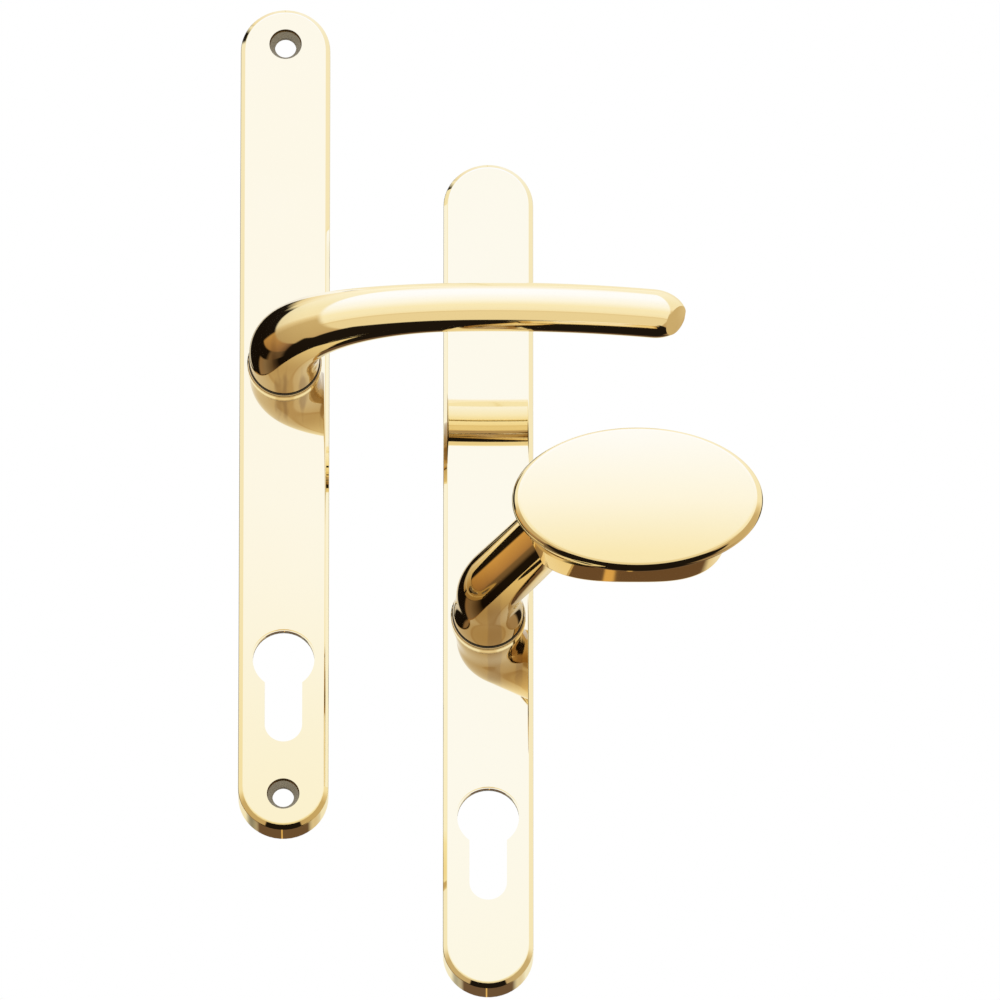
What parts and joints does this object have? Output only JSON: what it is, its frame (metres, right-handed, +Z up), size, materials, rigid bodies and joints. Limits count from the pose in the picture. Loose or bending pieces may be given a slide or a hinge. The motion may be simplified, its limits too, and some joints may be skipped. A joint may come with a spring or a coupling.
{
  "type": "lever and pad door handle set",
  "caption": "Offset door handle pair for a multipoint lock: a bowed lever and an oval pad, each sprung on a long round-ended backplate with a profile cylinder cut-out.",
  "frame": {"origin": "lever's spindle axis where it meets the plane of the plates' back faces", "axes": "+X towards the lever's tip, +Y into the door, +Z up the door"},
  "size_m": [0.1508, 0.1231, 0.306],
  "materials": {
    "polished_gold": "mirror-polished gold",
    "black_nylon": "moulded nylon",
    "zinc_steel": "zinc plated steel",
    "spring_steel": "oiled spring steel"
  },
  "bodies": {
    "plates": {"lever_backplate": "polished_gold", "lever_bush": "black_nylon", "lever_return_spring": "spring_steel", "pad_backplate": "polished_gold", "pad_bush": "black_nylon", "pad_return_spring": "spring_steel", "pad_screw_posts": "zinc_steel"},
    "lever_handle": {"lever_arm": "polished_gold", "lever_washer": "zinc_steel", "lever_drive_plate": "zinc_steel", "lever_circlip": "spring_steel", "lever_spindle": "zinc_steel", "lever_spindle_clip": "spring_steel"},
    "pad_handle": {"pad_arm": "polished_gold", "pad_face": "polished_gold", "pad_washer": "zinc_steel", "pad_drive_plate": "zinc_steel", "pad_circlip": "spring_steel", "pad_spindle": "zinc_steel", "pad_spindle_clip": "spring_steel"}
  },
  "joints": [
    {"name": "lever_turn", "type": "hinge", "parent": "plates", "child": "lever_handle", "pos_m": [0, 0, 0], "axis": [0, -1, 0], "range_deg": [-35, 45], "stiffness_Nm_per_rad": 1, "springref_deg": 5.73, "deforming": ["lever_return_spring"]},
    {"name": "pad_turn", "type": "hinge", "parent": "plates", "child": "pad_handle", "pos_m": [0.059, 0, -0.079], "axis": [0, -1, 0], "range_deg": [-35, 0], "stiffness_Nm_per_rad": 1, "springref_deg": 11.46, "deforming": ["pad_return_spring"]}
  ]
}
